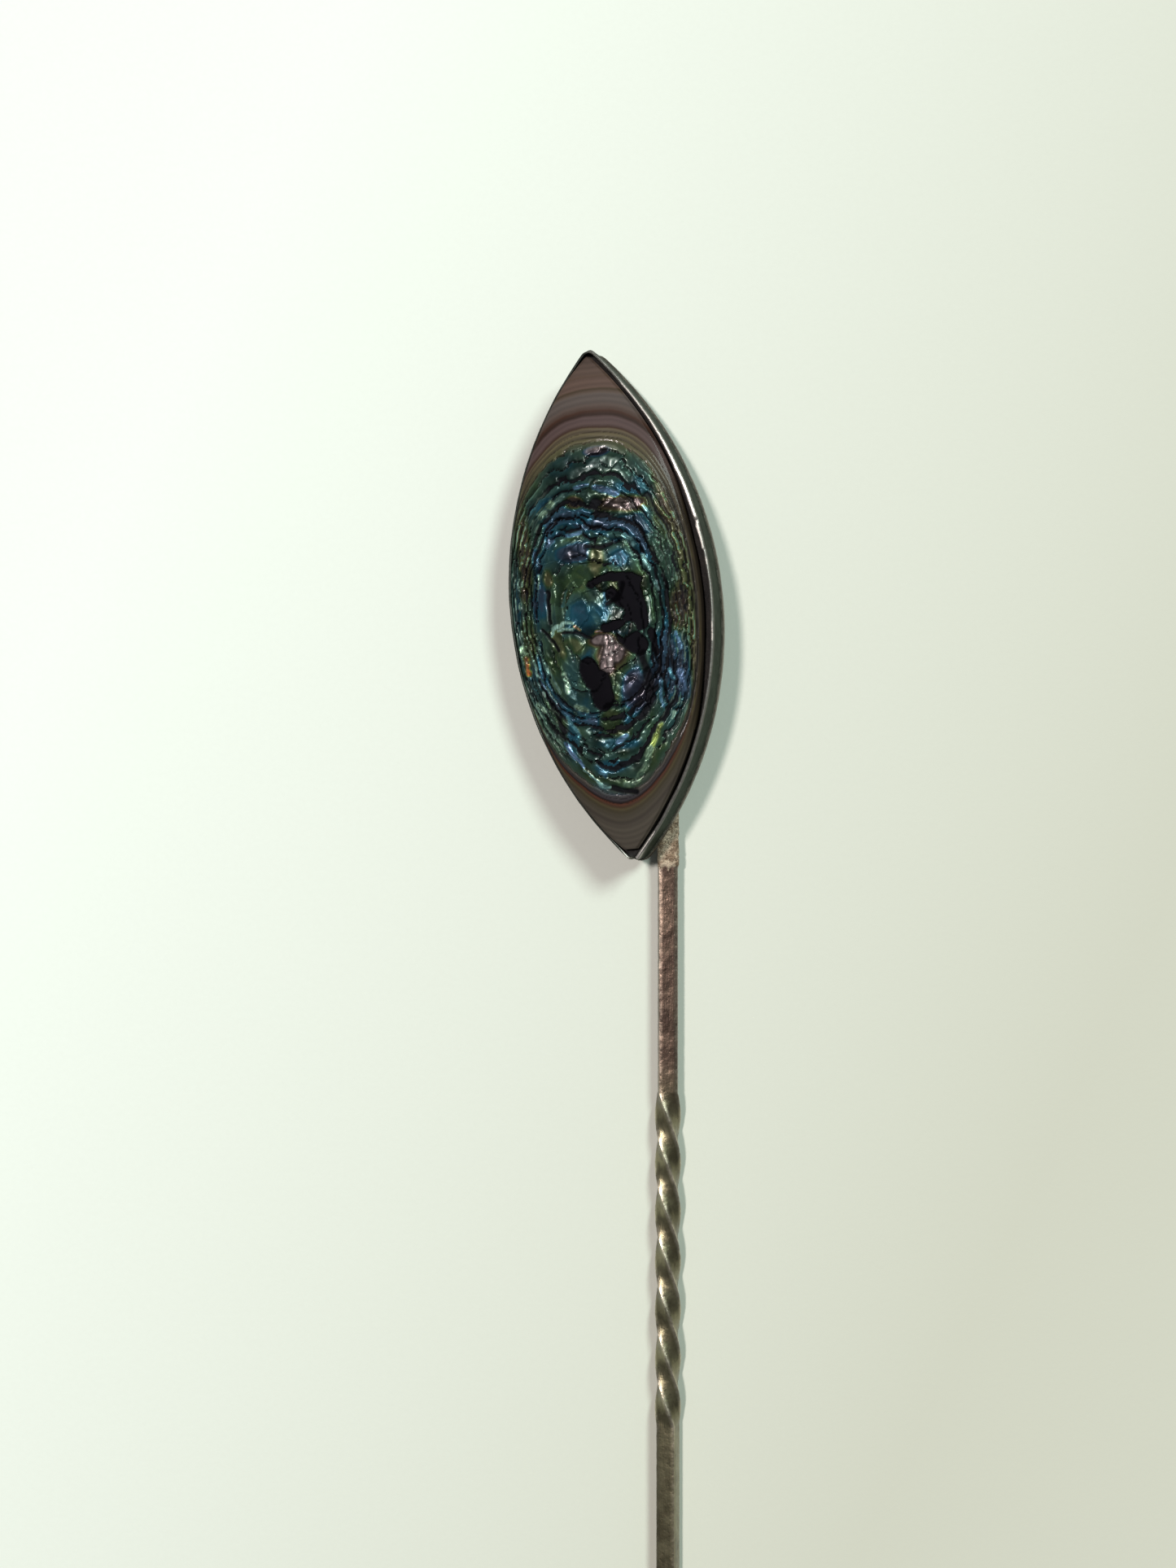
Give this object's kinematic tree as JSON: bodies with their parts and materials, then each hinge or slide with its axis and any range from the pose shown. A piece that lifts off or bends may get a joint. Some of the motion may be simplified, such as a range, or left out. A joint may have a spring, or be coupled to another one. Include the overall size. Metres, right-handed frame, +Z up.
{
  "type": "hat pin",
  "caption": "Straight square-wire hat pin with a twisted grip and a marquise bezel holding a layered shell cabochon.",
  "frame": {"origin": "middle of the outline seen from above, on the table the pin lies on", "axes": "+Y along the stem towards the head's upper tip, +X to the right as the shell faces you, +Z up from the table"},
  "size_m": [0.0108, 0.1096, 0.0052],
  "materials": {
    "tarnished_silver": "silver sheet dulled by grey-brown tarnish, worn bright along the rim",
    "solder": "rough, unpolished solder, a little pink-brown",
    "setting_cement": "dull black setting cement",
    "shell": "layered iridescent sea shell, glossy, with smooth ground tips and a rough stepped middle",
    "stem_metal": "white metal wire under brown and olive tarnish, worn bright on its edges"
  },
  "bodies": {
    "root": {"back_plate": "tarnished_silver", "bezel": "tarnished_silver", "bezel_solder": "solder", "cement_bed": "setting_cement", "shell_cabochon": "shell", "stem": "stem_metal", "stem_solder": "solder"}
  },
  "joints": []
}
